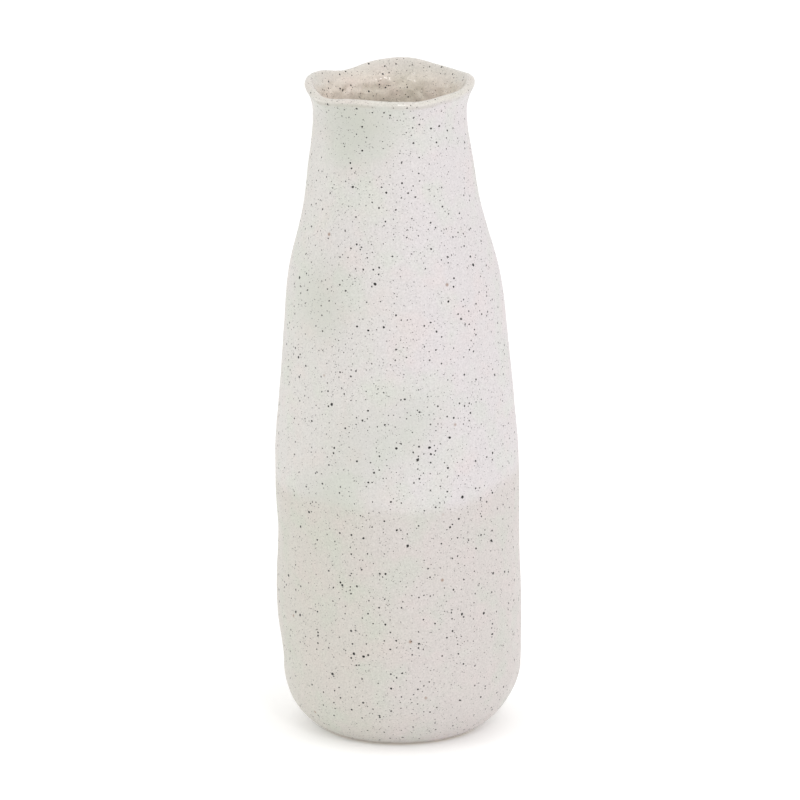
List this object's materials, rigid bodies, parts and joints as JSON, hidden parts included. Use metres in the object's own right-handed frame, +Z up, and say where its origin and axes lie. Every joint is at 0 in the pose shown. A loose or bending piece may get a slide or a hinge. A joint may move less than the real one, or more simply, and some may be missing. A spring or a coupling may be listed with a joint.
{
  "type": "stoneware vase",
  "caption": "Tall hand-built speckled stoneware vase with a rounded foot, soft shoulder, narrow neck and wavy flared lip, white glaze dipped over beige-grey.",
  "frame": {"origin": "centre of the outline's plan, on the surface that the foot rests on", "axes": "+Z up through the mouth, -Y to the front, where the dip line is lowest, +X to the right seen from the front; the neck leans slightly towards -X"},
  "size_m": [0.1103, 0.1112, 0.2986],
  "materials": {
    "clay": "unglazed speckled stoneware, fine grog, matt",
    "base_glaze": "warm beige-grey satin-matt glaze with dark iron specks",
    "dip_glaze": "cool white satin-matt glaze with dark iron specks",
    "liner_glaze": "cream gloss glaze with dark iron specks"
  },
  "bodies": {
    "root": {"floor_slab": "clay", "corner_coil": "clay", "lower_wall": "clay", "shoulder_wall": "clay", "neck_wall": "clay", "lip_coil": "clay", "base_glaze": "base_glaze", "dip_glaze": "dip_glaze", "liner_glaze": "liner_glaze"}
  },
  "joints": []
}
